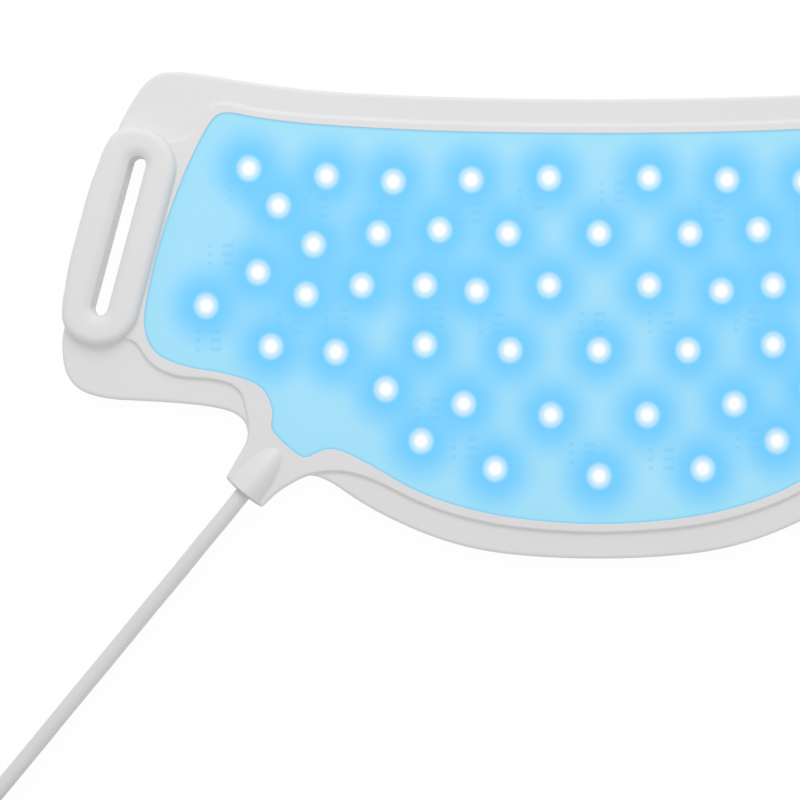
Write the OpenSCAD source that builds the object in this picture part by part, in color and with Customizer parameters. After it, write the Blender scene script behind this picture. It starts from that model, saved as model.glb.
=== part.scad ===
// Light therapy mask for the neck and chin: a flat, flexible silicone panel with a lit window,
// two strap loops, and a captive cable that ends in a small plug.
// The panel lies on its back, skin side up. Lengths are in millimetres, +Z is up, and the origin
// is at the middle of the panel on the surface it lies on. It bends at two lines, left and right.

/* [Panel] */
// Width over the whole panel
mask_w = 290; // [270:1:330]
// Height over the whole panel
mask_h = 132; // [122:1:150]
// Thickness of the back cover
back_t = 1.2; // [0.8:0.1:2]
// Thickness of the front frame's thin outer flange
flange_t = 1.4; // [1:0.1:2]
// How far the raised rim stands above the flange
rim_h = 1.2; // [0.6:0.1:2]

/* [Bend lines] */
// Width of a wing, from its bend line to its tip
wing_w = 93.4; // [90:0.1:97]
// Gap that parts the sheets at a bend line
bend_gap = 0.3; // [0.2:0.05:0.5]

/* [Light window] */
// How far the window's face lies below the rim
window_drop = 0.2; // [0:0.1:0.6]
// Gap between the window's edge and the rim
window_gap = 0.15; // [0.1:0.05:0.4]
// Width of the window's hidden lip under the rim
lip_w = 0.9; // [0.5:0.1:1.2]
// Thickness of the window's hidden lip
lip_t = 1; // [0.6:0.1:1.2]

/* [Circuit] */
// Thickness of the flexible circuit
circuit_t = 0.3; // [0.2:0.05:0.4]
// Side of a square light package
led_w = 5; // [4:0.1:5.4]
// Height of a light package
led_h = 1.2; // [0.8:0.1:1.3]
// Diameter of a light package's lens
lens_d = 3.9; // [3:0.1:4]
// Depth of the lens in its package
lens_t = 0.4; // [0.2:0.1:0.6]
// Width of a small chip
chip_small = 1.2; // [0.8:0.1:1.4]
// Length of a wide chip
chip_wide = 2.8; // [2:0.1:3]
// Breadth of every chip
chip_b = 1.1; // [0.8:0.1:1.3]
// Height of every chip
chip_h = 0.5; // [0.3:0.1:0.6]
// Distance from one row of chips to the next
chip_pitch = 2.4; // [2:0.1:2.6]
// Distance from the middle of a small chip to that of the wide one beside it
chip_step = 4.7; // [4:0.1:5]

/* [Strap loops] */
// Width of the strap slot
slot_w = 3.6; // [3:0.1:5]
// Length of the strap slot
slot_l = 43.8; // [36:0.1:46]
// Wall of the loop around the slot
loop_wall = 8.3; // [7:0.1:9]
// Extra width on the loop's outer side
loop_extra = 2; // [0:0.1:3]
// Height of the loop
loop_h = 6.5; // [5:0.1:9]
// Size of the step around the loop's top
loop_edge = 1.2; // [0.6:0.1:2]
// Width of the frame that is left between the window and a loop
strip_w = 0.4; // [0.3:0.1:1.2]
// Lean of the slot towards the middle
loop_lean = 15; // [10:0.5:18]

/* [Cable] */
// Diameter of the cable
cable_d = 4.3; // [3.5:0.1:4.8]
// Height of the cable's middle where it leaves the boot
cable_z = 3.2; // [3.1:0.1:3.8]
// Widest diameter of the boot
boot_d = 9.4; // [8.6:0.1:11]
// Length of the boot
boot_l = 15; // [12:0.5:18]
// Length of the cable's end inside the boot
end_l = 8; // [6:0.5:9]
// Distance of the crimp ring from the boot's cut end
ring_at = 4.5; // [3:0.1:5.5]
// Length of the crimp ring
ring_l = 2.5; // [1.5:0.1:3]
// Wall of the crimp ring
ring_wall = 0.4; // [0.3:0.05:0.6]
// Diameter of a wire inside
wire_d = 0.9; // [0.6:0.1:1]
// Distance of a wire from the cable's middle line
wire_side = 1.1; // [0.9:0.1:1.3]
// Distance of the solder pads from the boot's cut end
pads_at = 18.6; // [18:0.1:19.5]
// Length of a solder pad
pad_l = 2.2; // [1.6:0.1:2.6]
// Width of a solder pad
pad_w = 1.3; // [0.8:0.1:1.6]
// Height of a solder pad
pad_h = 0.1; // [0.05:0.05:0.2]

/* [Coil and plug] */
// Radius of the coil's outermost turn, at the middle of the cable
coil_r = 32.8; // [30:0.1:36]
// Turns that lie side by side in one layer of the coil
coil_turns = 3.2; // [3:0.1:4]
// Thickness of the tie around the coil
tie_t = 0.8; // [0.5:0.1:1]
// Width of the tie
tie_w = 8; // [6:0.5:12]
// Width of the plug's grip
grip_w = 11.5; // [10:0.5:13]
// Thickness of the plug's grip
grip_h = 6.4; // [5.5:0.1:8]
// Length of the plug's grip
grip_l = 20; // [16:0.5:26]
// Length of the plug's ribbed strain relief
relief_l = 9; // [7:0.5:14]
// Length of the plug's metal shell that stands out of the grip
shell_l = 6.7; // [5:0.1:8]
// Width of the metal shell
shell_w = 8.3; // [7:0.1:9]
// Thickness of the metal shell
shell_h = 2.5; // [2.2:0.1:3.2]
// Wall of the metal shell
shell_wall = 0.3; // [0.2:0.05:0.4]
// Depth of the metal shell in the grip
shell_deep = 4; // [2:0.5:8]
// Width of the tongue inside the shell
tongue_w = 6.6; // [5:0.1:6.8]
// Thickness of the tongue
tongue_h = 0.7; // [0.4:0.1:0.8]

/* [Fits] */
// Small gap between moulded pieces that are pushed together
fit = 0.1; // [0.05:0.01:0.15]

/* [Hidden] */
$fn = 48;

// Heights of the layers, from the surface up
circuit_z = back_t;
parts_z = circuit_z + circuit_t;
flange_z = back_t + flange_t;
rim_z = flange_z + rim_h;
window_z = rim_z - window_drop;
lip_z = parts_z + lip_t;
cavity_z = lip_z + fit;
led_z = parts_z + led_h;

// The outlines below are drawn for a panel of this height, with its bend lines and tips at these
// distances from the middle. The wings and the stretch between them take their own sizes from it.
DRAWN_H = 132;
DRAWN_BEND = 51.6;
DRAWN_TIP = 145;
bend_x = mask_w / 2 - wing_w;
function place_x(x) =
    abs(x) < DRAWN_BEND
        ? x * bend_x / DRAWN_BEND
        : sign(x) * (bend_x + (abs(x) - DRAWN_BEND) * wing_w / (DRAWN_TIP - DRAWN_BEND));
function place(p) = [place_x(p[0]), p[1] * mask_h / DRAWN_H];
function placed(list) = [for (p = list) place(p)];

// Corners of the left half of the panel's edge, from the top middle to the wing's lower edge
EDGE_WING = [
    [-25, 58.5], [-70, 60.1], [-92, 62.6], [-112, 66.1], [-121, 65.6], [-128, 55], [-132, 45.5],
    [-143, 3], [-145.6, -7], [-144, -18], [-136, -22.7], [-118, -23.4], [-104, -24.7]
];
// The neck that holds the cable boot, on the left
EDGE_NECK = [
    [-96.5, -27], [-94.2, -32.5], [-97.6, -38.5], [-105, -51], [-96, -58],
    [-88.5, -49], [-82, -44.8], [-76, -42.4]
];
// The same stretch where there is no cable, as on the right
EDGE_PLAIN = [[-96, -27.5], [-78, -41]];
// The panel's lower edge, from there to the bottom middle
EDGE_BELLY = [[-61, -53.2], [-38, -63], [-14, -65.9]];

// Corners of the left half of the window's edge
WINDOW_WING = [
    [-30, 49], [-72, 50.9], [-92, 53], [-101.3, 55.2], [-105.2, 52.4], [-112, 38.5], [-118, 22],
    [-122, 5.5], [-123.2, -4], [-119.8, -11], [-111, -14.3], [-102, -15.4], [-91.5, -18.5]
];
// The window's tab over the solder pads, on the left
WINDOW_TAB = [[-88.4, -23.5], [-87.9, -28], [-89, -31], [-80, -39.2], [-76.8, -37.4], [-71.8, -35.4]];
// The window's lower edge, from there to the bottom middle
WINDOW_BELLY = [[-62, -40.2], [-48.5, -48.4], [-30, -54], [-9, -56.4]];

// Corners of the left half of the raised rim's outer edge, which runs out to the strap loop
RIM_WING = [
    [-30, 51.3], [-74, 53.4], [-93, 55.2], [-104, 58.4], [-107.5, 51.5], [-110.5, 46.6],
    [-117, 45.6], [-121, 52], [-128, 48], [-138, 0], [-131, -7], [-125.5, -6.2],
    [-121.5, -13.5], [-114, -17], [-104, -17.2]
];
// Where the rim runs into the neck, on the left, and turns under the window, on the right
RIM_NECK = [[-97, -19.5], [-95.3, -25]];
RIM_PLAIN = [[-94, -20.5]];
// Where it leaves the neck again, and its lower edge from there to the bottom middle
RIM_TAB = [[-77, -42.5], [-69, -42]];
RIM_BELLY = [[-60, -44.7], [-48, -51.3], [-30, -56.7], [-9, -58.8]];

// Middles of the light packages on the left half, and of those on the middle line
LEDS = [
    [-94.5, 39.5], [-73.5, 37.5], [-55.5, 36], [-34.5, 36.5], [-13.5, 37], [-86.5, 29.5],
    [-77, 19], [-59.5, 22], [-43, 23], [-24.5, 22], [-92, 11.5], [-79, 5.5], [-64, 8], [-47, 8],
    [-33, 6.5], [-13.5, 8], [-106, 2.5], [-88.5, -8.5], [-71, -10], [-47, -8], [-24, -9.5],
    [-57.5, -20], [-36.5, -24], [-13, -27], [-48, -34], [-28, -41.5]
];
LEDS_MIDDLE = [[0, 22], [0, -9.5], [0, -43.5]];

// Middles of the groups of chips: each is three small chips with three wide ones beside them
CHIPS = [
    [-102.7, 16.2], [-97, 33.5], [-77, 29], [-56.8, 28], [-35.7, 27.5], [-19.2, 31.2], [3, 33],
    [29.6, 28], [55.4, 28], [70, 28.5], [84, 36], [104, 15.5], [-84, -2.2], [-71.5, -1],
    [-106, -7], [-45.6, -0.8], [-29.8, -2.5], [-2.5, -2.2], [16, -2.2], [39.2, -1.6], [60, -1],
    [78, -3], [98, -8], [-46.8, -25.5], [-37, -36], [-5.2, -37.4], [16.2, -39], [39.6, -33.5],
    [68, -22]
];

// Where the left strap slot's middle is: square to the slot from the window's edge, and then along
window_side = place([-119.2, 17]);
slot_out = slot_w / 2 + loop_wall + strip_w;
slot_along = 1.3;
slot_place = window_side - slot_out * [cos(loop_lean), -sin(loop_lean)]
    + slot_along * [sin(loop_lean), cos(loop_lean)];
// Where the cable boot's tip is, and which way the cable leaves it
tip_place = place([-86.4, -36.5]);
boot_angle = 230.5;
boot_way = [cos(boot_angle), sin(boot_angle)];
exit_place = tip_place + boot_l * boot_way;
big = 2 * mask_w;

// Coil: the run's last point touches it, and its middle lies on the run's left
coil_middle = [-153, -169];
coil_pitch = 1.01 * cable_d;
coil_out = coil_r + cable_d / 2;
coil_in = coil_out - coil_turns * coil_pitch - cable_d;
coil_h = 2 * cable_d;

// Middle of the cable along the visible run, at the coil's far side and out to the plug
RUN = [
    [-101.6, -55.1, 3.1], [-106.7, -61.2, 2.9], [-113.0, -69.0, 2.6], [-120.7, -78.2, 2.3],
    [-128.3, -87.5, 2.2], [-135.9, -96.7, 2.2], [-143.6, -106.0, 2.2], [-151.2, -115.3, 2.2],
    [-158.8, -124.5, 2.2], [-165.2, -132.2, 2.4], [-171.6, -140.0, 2.8], [-178.4, -148.1, 3.1]
];
TAIL = [
    [-153, -201.8, 7.2], [-147, -201.8, 6.6], [-141, -201.8, 5.2], [-135, -201.8, 3.8],
    [-129, -201.8, 3.2], [-123, -201.8, 3.2]
];
cable_sides = 8;
plug_z = grip_h / 2;
relief_start = TAIL[len(TAIL) - 1];
grip_start = relief_start[0] + relief_l;
shell_start = grip_start + grip_l;

silicone = [0.88, 0.88, 0.89];
glow_blue = [0.52, 0.82, 1];

LEFT = -1;
CENTRE = 0;
RIGHT = 1;

// ---- Outlines ----

// A closed outline that touches the middle of each line between two corners, round at each corner
function rounded(corners, steps = 7) = [
    for (i = [0:len(corners) - 1])
        let (before = corners[(i + len(corners) - 1) % len(corners)])
        let (here = corners[i])
        let (after = corners[(i + 1) % len(corners)])
        for (k = [0:steps - 1])
            let (t = k / steps)
            (before + here) / 2 * (1 - t) ^ 2 + here * 2 * t * (1 - t) + (here + after) / 2 * t ^ 2
];

// The outline beside a counterclockwise one, at a distance outside it
function beside(outline, distance) = [
    for (i = [0:len(outline) - 1])
        let (count = len(outline))
        let (along = outline[(i + 1) % count] - outline[(i + count - 1) % count])
        outline[i] + distance * [along[1], -along[0]] / norm(along)
];

function mirrored(half) = [for (i = [len(half) - 1:-1:0]) [-half[i][0], half[i][1]]];

panel_edge = rounded(placed(concat(
    EDGE_WING, EDGE_NECK, EDGE_BELLY,
    mirrored(concat(EDGE_WING, EDGE_PLAIN, EDGE_BELLY))
)));
rim_edge = rounded(placed(concat(
    RIM_WING, RIM_NECK, [for (i = [1:len(EDGE_NECK) - 2]) EDGE_NECK[i]], RIM_TAB, RIM_BELLY,
    mirrored(concat(RIM_WING, RIM_PLAIN, RIM_BELLY))
)));
window_edge = rounded(placed(concat(
    WINDOW_WING, WINDOW_TAB, WINDOW_BELLY,
    mirrored(concat(WINDOW_WING, WINDOW_BELLY))
)));

// One stretch of a sheet, of the three between the bend lines, from height z0 to z1
module layer(side, z0, z1) {
    half_gap = bend_gap / 2;
    x0 = side == LEFT ? -big : side == CENTRE ? -bend_x + half_gap : bend_x + half_gap;
    x1 = side == LEFT ? -bend_x - half_gap : side == CENTRE ? bend_x - half_gap : big;
    translate([0, 0, z0])
        linear_extrude(z1 - z0)
            intersection() {
                children();
                translate([x0, -big])
                    square([x1 - x0, 2 * big]);
            }
}

function in_stretch(x, side) =
    side == LEFT ? x < -bend_x : side == CENTRE ? abs(x) < bend_x : x > bend_x;

function mirrored_points(list) = [for (p = list) [-p[0], p[1]]];

led_places = placed(concat(LEDS, LEDS_MIDDLE, mirrored_points(LEDS)));

// ---- Strap loops ----

// Puts its children in the left loop's frame, with the slot along Y
module at_loop(side) {
    mirror([side == RIGHT ? 1 : 0, 0, 0])
        translate([slot_place[0], slot_place[1], 0])
            rotate([0, 0, -loop_lean])
                children();
}

// A flat shape with straight sides and round ends along Y
module long_round(width, length) {
    straight = length - width;
    for (end = [-1, 1])
        translate([0, end * straight / 2])
            circle(d = width);
    square([width, straight], center = true);
}

// The outer edge of a loop, with room around it
module loop_outside(room = 0) {
    translate([-loop_extra / 2, 0])
        long_round(
            slot_w + 2 * loop_wall + loop_extra + 2 * room,
            slot_l + 2 * loop_wall + 2 * room
        );
}

module strap_loop() {
    color(silicone)
        difference() {
            union() {
                linear_extrude(loop_h - loop_edge)
                    loop_outside();
                translate([0, 0, loop_h - loop_edge])
                    linear_extrude(loop_edge)
                        loop_outside(-loop_edge);
            }
            translate([0, 0, -1])
                linear_extrude(loop_h + 2)
                    long_round(slot_w, slot_l);
        }
}

module strap_loop_left() at_loop(LEFT) strap_loop();
module strap_loop_right() at_loop(RIGHT) strap_loop();

// Room in the panel for both loops, and the square cut past the boot's end
module panel_cuts() {
    cut = 24;
    for (side = [LEFT, RIGHT])
        at_loop(side)
            loop_outside(fit);
    translate(exit_place)
        rotate(boot_angle)
            translate([0, -cut / 2])
                square(cut);
}

module panel_ground() {
    difference() {
        polygon(panel_edge);
        panel_cuts();
    }
}

// The window's edge with its hidden lip, which the circuit shares, with room for both loops
module lip_ground() {
    difference() {
        polygon(beside(window_edge, lip_w));
        for (side = [LEFT, RIGHT])
            at_loop(side)
                loop_outside(fit);
    }
}

// ---- Cable boot and what it holds ----

// Puts its children at the boot's cut end, with +Z along the cable and into the panel
module at_exit() {
    translate([exit_place[0], exit_place[1], cable_z])
        rotate([0, 0, boot_angle + 180])
            rotate([0, 90, 0])
                children();
}

// A straight round rod between two points
module rod(from, to, diameter) {
    way = to - from;
    translate(from)
        rotate([0, acos(way[2] / norm(way)), atan2(way[1], way[0])])
            cylinder(h = norm(way), d = diameter);
}

// Half the width of the boot, a share of the way from its cut end to its tip
function boot_radius(share) = boot_d / 2 * sqrt(1 - share ^ 2.2);

module boot_shape(room = 0) {
    steps = 8;
    at_exit()
        rotate_extrude()
            polygon(concat(
                [[0, 0]],
                [for (k = [0:steps]) [boot_radius(k / steps) + room, k * boot_l / steps]],
                [[0, boot_l + room]]
            ));
}

// A point a distance along the boot from its cut end, to one side, at a height
function in_boot(along, aside, z) = [
    exit_place[0] - along * boot_way[0] - aside * boot_way[1],
    exit_place[1] - along * boot_way[1] + aside * boot_way[0],
    z
];

pad_top = parts_z + pad_h;

module cable_end(room = 0) {
    color("gainsboro")
        at_exit()
            cylinder(h = end_l + room, d = cable_d + 2 * room);
}

module crimp_ring() {
    color("goldenrod")
        at_exit()
            translate([0, 0, ring_at])
                difference() {
                    cylinder(h = ring_l, d = cable_d + fit + 2 * ring_wall);
                    translate([0, 0, -1])
                        cylinder(h = ring_l + 2, d = cable_d + fit);
                }
}

module wire_tails(room = 0) {
    color("firebrick")
        for (side = [-1, 1])
            rod(
                in_boot(end_l + (room > 0 ? 0 : fit), side * wire_side, cable_z),
                in_boot(pads_at + pad_l / 2, side * wire_side, pad_top + wire_d / 2 + fit),
                wire_d + 2 * room
            );
}

module solder_pads() {
    color("silver")
        for (side = [-1, 1])
            translate(in_boot(pads_at, side * wire_side, parts_z))
                rotate([0, 0, boot_angle + 180])
                    translate([0, -pad_w / 2, 0])
                        cube([pad_l, pad_w, pad_h]);
}

module cable_boot() {
    color(silicone)
        difference() {
            boot_shape();
            translate([-big, -big, -big])
                cube([2 * big, 2 * big, big]);
            cable_end(fit / 2);
            at_exit()
                translate([0, 0, ring_at - fit])
                    cylinder(h = ring_l + 2 * fit, d = cable_d + 2 * ring_wall + 3 * fit);
            wire_tails(fit);
        }
}

// ---- Back cover ----

module back_cover(side) {
    color(silicone)
        difference() {
            layer(side, 0, back_t)
                panel_ground();
            if (side == LEFT)
                boot_shape(fit);
        }
}

module back_cover_left() back_cover(LEFT);
module back_cover_centre() back_cover(CENTRE);
module back_cover_right() back_cover(RIGHT);

// ---- Flexible circuit with its lights and chips ----

module flex_circuit(side) {
    color("ivory")
        difference() {
            layer(side, circuit_z, parts_z)
                lip_ground();
            if (side == LEFT)
                boot_shape(fit);
        }
}

module flex_circuit_left() flex_circuit(LEFT);
module flex_circuit_centre() flex_circuit(CENTRE);
module flex_circuit_right() flex_circuit(RIGHT);

// Puts its children on each light's place in one stretch
module at_leds(side) {
    for (p = led_places)
        if (in_stretch(p[0], side))
            translate([p[0], p[1], parts_z])
                children();
}

module led_packages(side) {
    color("white")
        at_leds(side)
            difference() {
                translate([-led_w / 2, -led_w / 2, 0])
                    cube([led_w, led_w, led_h]);
                translate([0, 0, led_h - lens_t])
                    cylinder(h = lens_t + 1, d = lens_d);
            }
}

module led_packages_left() led_packages(LEFT);
module led_packages_centre() led_packages(CENTRE);
module led_packages_right() led_packages(RIGHT);

module led_lenses(side) {
    color("lightcyan")
        at_leds(side)
            translate([0, 0, led_h - lens_t])
                cylinder(h = lens_t, d = lens_d - fit);
}

module led_lenses_left() led_lenses(LEFT);
module led_lenses_centre() led_lenses(CENTRE);
module led_lenses_right() led_lenses(RIGHT);

// Puts its children on the middle of each group of chips in one stretch
module at_chips(side) {
    for (p = placed(CHIPS))
        if (in_stretch(p[0], side))
            translate([p[0], p[1], parts_z])
                children();
}

module resistors(side) {
    color("dimgray")
        at_chips(side)
            for (row = [-1:1]) {
                translate([-chip_step / 2 - chip_small / 2, row * chip_pitch - chip_b / 2, 0])
                    cube([chip_small, chip_b, chip_h]);
                translate([chip_step / 2 - chip_wide / 2, row * chip_pitch - chip_b / 2, 0])
                    cube([chip_wide, chip_b, chip_h]);
            }
}

module resistors_left() resistors(LEFT);
module resistors_centre() resistors(CENTRE);
module resistors_right() resistors(RIGHT);

// ---- Light window ----

// Room in the window's underside for the lights, chips, pads and wires of one stretch
module window_pockets(side) {
    led_room = led_w + 2 * fit;
    chips_w = chip_step + chip_small / 2 + chip_wide / 2 + 4 * fit;
    chips_l = 2 * chip_pitch + chip_b + 4 * fit;
    at_leds(side)
        translate([-led_room / 2, -led_room / 2, -1])
            cube([led_room, led_room, led_h + fit + 1]);
    at_chips(side)
        translate([-chip_step / 2 - chip_small / 2 - 2 * fit, -chips_l / 2, -1])
            cube([chips_w, chips_l, chip_h + fit + 1]);
    if (side == LEFT)
        translate(in_boot(pads_at - 3, 0, parts_z - 1))
            rotate([0, 0, boot_angle + 180])
                translate([0, -wire_side - pad_w, 0])
                    cube([pad_l + 4, 2 * (wire_side + pad_w), pad_h + wire_d + 4 * fit + 1]);
}

module light_window(side) {
    color(glow_blue)
        difference() {
            union() {
                layer(side, parts_z, lip_z)
                    lip_ground();
                layer(side, lip_z, window_z)
                    polygon(beside(window_edge, -window_gap));
            }
            window_pockets(side);
            if (side == LEFT)
                boot_shape(fit);
        }
}

module light_window_left() light_window(LEFT);
module light_window_centre() light_window(CENTRE);
module light_window_right() light_window(RIGHT);

// ---- Front frame ----

module front_frame(side) {
    color(silicone)
        difference() {
            union() {
                layer(side, back_t, flange_z)
                    panel_ground();
                layer(side, flange_z, rim_z)
                    difference() {
                        polygon(rim_edge);
                        panel_cuts();
                    }
            }
            translate([0, 0, back_t - 1])
                linear_extrude(rim_z)
                    polygon(window_edge);
            translate([0, 0, back_t - 1])
                linear_extrude(cavity_z - back_t + 1)
                    polygon(beside(window_edge, lip_w + fit));
            if (side == LEFT) {
                boot_shape(fit);
                wire_tails(fit);
            }
        }
}

module front_frame_left() front_frame(LEFT);
module front_frame_centre() front_frame(CENTRE);
module front_frame_right() front_frame(RIGHT);

// ---- Free cable, its coil and its plug ----

// Corners of a ring of cable around a point of its route, square to the way through its neighbours
function cable_ring(route, i) =
    let (before = route[max(i - 1, 0)])
    let (after = route[min(i + 1, len(route) - 1)])
    let (way = (after - before) / norm(after - before))
    let (aside = [way[1], -way[0], 0] / norm([way[0], way[1]]))
    let (up = cross(aside, way))
    [
        for (k = [0:cable_sides - 1])
            let (a = (k + 0.5) * 360 / cable_sides)
            route[i] + cable_d / 2 * (cos(a) * aside + sin(a) * up)
    ];

// A closed tube along a route
module tube(route) {
    rings = len(route);
    points = [for (i = [0:rings - 1]) each cable_ring(route, i)];
    walls = [
        for (i = [0:rings - 2])
            for (k = [0:cable_sides - 1])
                let (next = (k + 1) % cable_sides)
                [
                    i * cable_sides + k, i * cable_sides + next,
                    (i + 1) * cable_sides + next, (i + 1) * cable_sides + k
                ]
    ];
    first = [for (k = [cable_sides - 1:-1:0]) k];
    last = [for (k = [0:cable_sides - 1]) (rings - 1) * cable_sides + k];
    polyhedron(points, concat([first], walls, [last]));
}

module cable_run() {
    start = [exit_place[0], exit_place[1], cable_z];
    straight = 2;
    color("gainsboro")
        tube(concat([start, start + straight * [boot_way[0], boot_way[1], 0]], RUN));
}

module cable_coil() {
    color("gainsboro")
        translate([coil_middle[0], coil_middle[1], tie_t])
            difference() {
                cylinder(h = coil_h, r = coil_out);
                translate([0, 0, -1])
                    cylinder(h = coil_h + 2, r = coil_in);
            }
}

module coil_tie() {
    inner_x = sqrt(coil_in ^ 2 - (tie_w / 2) ^ 2) - 3 * fit;
    inside = coil_out + 3 * fit - inner_x;
    color("dimgray")
        translate([coil_middle[0] + inner_x, coil_middle[1] - tie_w / 2, 0])
            difference() {
                translate([-tie_t, 0, 0])
                    cube([inside + 2 * tie_t, tie_w, coil_h + 3 * fit + 2 * tie_t]);
                translate([0, -1, tie_t])
                    cube([inside, tie_w + 2, coil_h + 3 * fit]);
            }
}

module cable_tail() {
    color("gainsboro")
        tube(TAIL);
}

// Puts its children on the plug's middle line, a distance past the cable's end, with +Z outwards
module on_plug(x) {
    translate([x, relief_start[1], plug_z])
        rotate([0, 90, 0])
            children();
}

// A bar with round sides, wide along Y, standing on its end
module flat_round(width, thickness, length) {
    linear_extrude(length)
        union() {
            square([thickness, width - thickness], center = true);
            for (side = [-1, 1])
                translate([0, side * (width - thickness) / 2])
                    circle(d = thickness);
        }
}

module plug_relief() {
    ribs = 4;
    rib_share = 0.7;
    rib_h = 0.4;
    growth = 0.15;
    color("gainsboro")
        on_plug(relief_start[0])
            rotate_extrude()
                polygon(concat(
                    [[0, 0]],
                    [for (k = [0:ribs - 1]) each [
                        [cable_d / 2 + growth * k + rib_h, k * relief_l / ribs],
                        [cable_d / 2 + growth * k + rib_h, (k + rib_share) * relief_l / ribs],
                        [cable_d / 2 + growth * k, (k + rib_share) * relief_l / ribs],
                        [cable_d / 2 + growth * k, (k + 1) * relief_l / ribs]
                    ]],
                    [[0, relief_l]]
                ));
}

module plug_grip() {
    color(silicone)
        on_plug(grip_start)
            difference() {
                flat_round(grip_w, grip_h, grip_l);
                translate([0, 0, grip_l - shell_deep])
                    flat_round(shell_w, shell_h, shell_deep + 1);
            }
}

module plug_shell() {
    color("silver")
        on_plug(shell_start - shell_deep)
            difference() {
                flat_round(shell_w - fit, shell_h - fit, shell_l + shell_deep);
                translate([0, 0, -1])
                    flat_round(
                        shell_w - fit - 2 * shell_wall, shell_h - fit - 2 * shell_wall,
                        shell_l + shell_deep + 2
                    );
            }
}

module plug_tongue() {
    base_l = 2;
    color("black")
        on_plug(shell_start - shell_deep) {
            flat_round(
                shell_w - 2 * fit - 2 * shell_wall, shell_h - 2 * fit - 2 * shell_wall, base_l
            );
            translate([-tongue_h / 2, -tongue_w / 2, 0])
                cube([tongue_h, tongue_w, shell_l + shell_deep - 1]);
        }
}

back_cover_left();
back_cover_centre();
back_cover_right();
flex_circuit_left();
flex_circuit_centre();
flex_circuit_right();
led_packages_left();
led_packages_centre();
led_packages_right();
led_lenses_left();
led_lenses_centre();
led_lenses_right();
resistors_left();
resistors_centre();
resistors_right();
light_window_left();
light_window_centre();
light_window_right();
front_frame_left();
front_frame_centre();
front_frame_right();
strap_loop_left();
strap_loop_right();
cable_boot();
cable_end();
crimp_ring();
wire_tails();
solder_pads();
cable_run();
cable_coil();
coil_tie();
cable_tail();
plug_relief();
plug_grip();
plug_shell();
plug_tongue();
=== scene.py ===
"""Looks of a light therapy mask for the neck and chin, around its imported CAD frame: a soft white
silicone panel with a lit window, two strap loops, and a captive cable wound up beside it.
Shapes are worked out in millimetres and become metres as they go into a mesh."""

from collections import namedtuple

import bpy
import numpy as np
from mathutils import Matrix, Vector
from mathutils.geometry import delaunay_2d_cdt


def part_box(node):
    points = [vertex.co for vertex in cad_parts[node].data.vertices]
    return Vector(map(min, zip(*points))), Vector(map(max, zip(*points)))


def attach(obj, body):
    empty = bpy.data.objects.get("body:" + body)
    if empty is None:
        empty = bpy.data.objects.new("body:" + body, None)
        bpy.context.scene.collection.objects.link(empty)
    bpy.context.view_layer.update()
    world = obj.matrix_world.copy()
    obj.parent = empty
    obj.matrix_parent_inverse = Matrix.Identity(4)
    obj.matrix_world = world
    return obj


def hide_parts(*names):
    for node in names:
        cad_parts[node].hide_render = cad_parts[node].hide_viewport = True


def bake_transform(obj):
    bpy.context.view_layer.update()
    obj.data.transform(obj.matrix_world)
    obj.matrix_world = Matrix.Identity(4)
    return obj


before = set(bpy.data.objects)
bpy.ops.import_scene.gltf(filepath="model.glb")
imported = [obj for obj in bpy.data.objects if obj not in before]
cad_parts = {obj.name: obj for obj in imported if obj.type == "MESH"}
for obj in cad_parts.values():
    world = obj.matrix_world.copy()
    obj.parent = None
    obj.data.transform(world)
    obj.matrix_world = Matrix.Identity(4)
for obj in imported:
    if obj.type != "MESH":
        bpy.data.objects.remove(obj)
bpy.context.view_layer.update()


# ---- Camera ----
# A copy stand's camera: it looks straight down on the left two thirds of the panel from half a
# metre above it, so that the panel's far wing and the end of the cable run out of its view.

camera = bpy.data.objects.new("camera", bpy.data.cameras.new("camera"))
camera.data.sensor_width = 36
camera.data.lens = 83.3
camera.location = (-0.0537, -0.02295, 0.503)
camera.data.clip_start = 0.01
bpy.context.scene.collection.objects.link(camera)
bpy.context.scene.camera = camera


# ---- Cable tie ----
# A strip of hook and loop tape closed round the coil. Its free end lies on its own outer side,
# where it sticks to itself. Woven nylon, dark grey, cut off square.

def surface(name, points, *face_sets):
    """A smooth mesh at the origin from points in millimetres and arrays with a face in each row."""
    mesh = bpy.data.meshes.new(name)
    mesh.vertices.add(len(points))
    mesh.vertices.foreach_set("co", (points / 1000).astype(np.float32).ravel())
    corners = np.concatenate([faces.ravel() for faces in face_sets]).astype(np.int32)
    sizes = np.concatenate([np.full(len(faces), faces.shape[1]) for faces in face_sets])
    starts = np.concatenate([[0], np.cumsum(sizes)[:-1]]).astype(np.int32)
    mesh.loops.add(len(corners))
    mesh.loops.foreach_set("vertex_index", corners)
    mesh.polygons.add(len(sizes))
    mesh.polygons.foreach_set("loop_start", starts)
    mesh.update(calc_edges=True)
    mesh.shade_smooth()
    piece = bpy.data.objects.new(name, mesh)
    bpy.context.scene.collection.objects.link(piece)
    return piece


def grid_faces(rows, columns, round_rows=False, round_columns=False):
    """Four-cornered faces between the neighbours of a grid of points stored row by row. A round
    direction closes on itself."""
    r = np.arange(rows if round_rows else rows - 1)[:, None]
    c = np.arange(columns if round_columns else columns - 1)[None, :]
    r2, c2 = (r + 1) % rows, (c + 1) % columns
    corners = [r * columns + c, r * columns + c2, r2 * columns + c2, r2 * columns + c]
    return np.stack(np.broadcast_arrays(*corners), -1).reshape(-1, 4)


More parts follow.
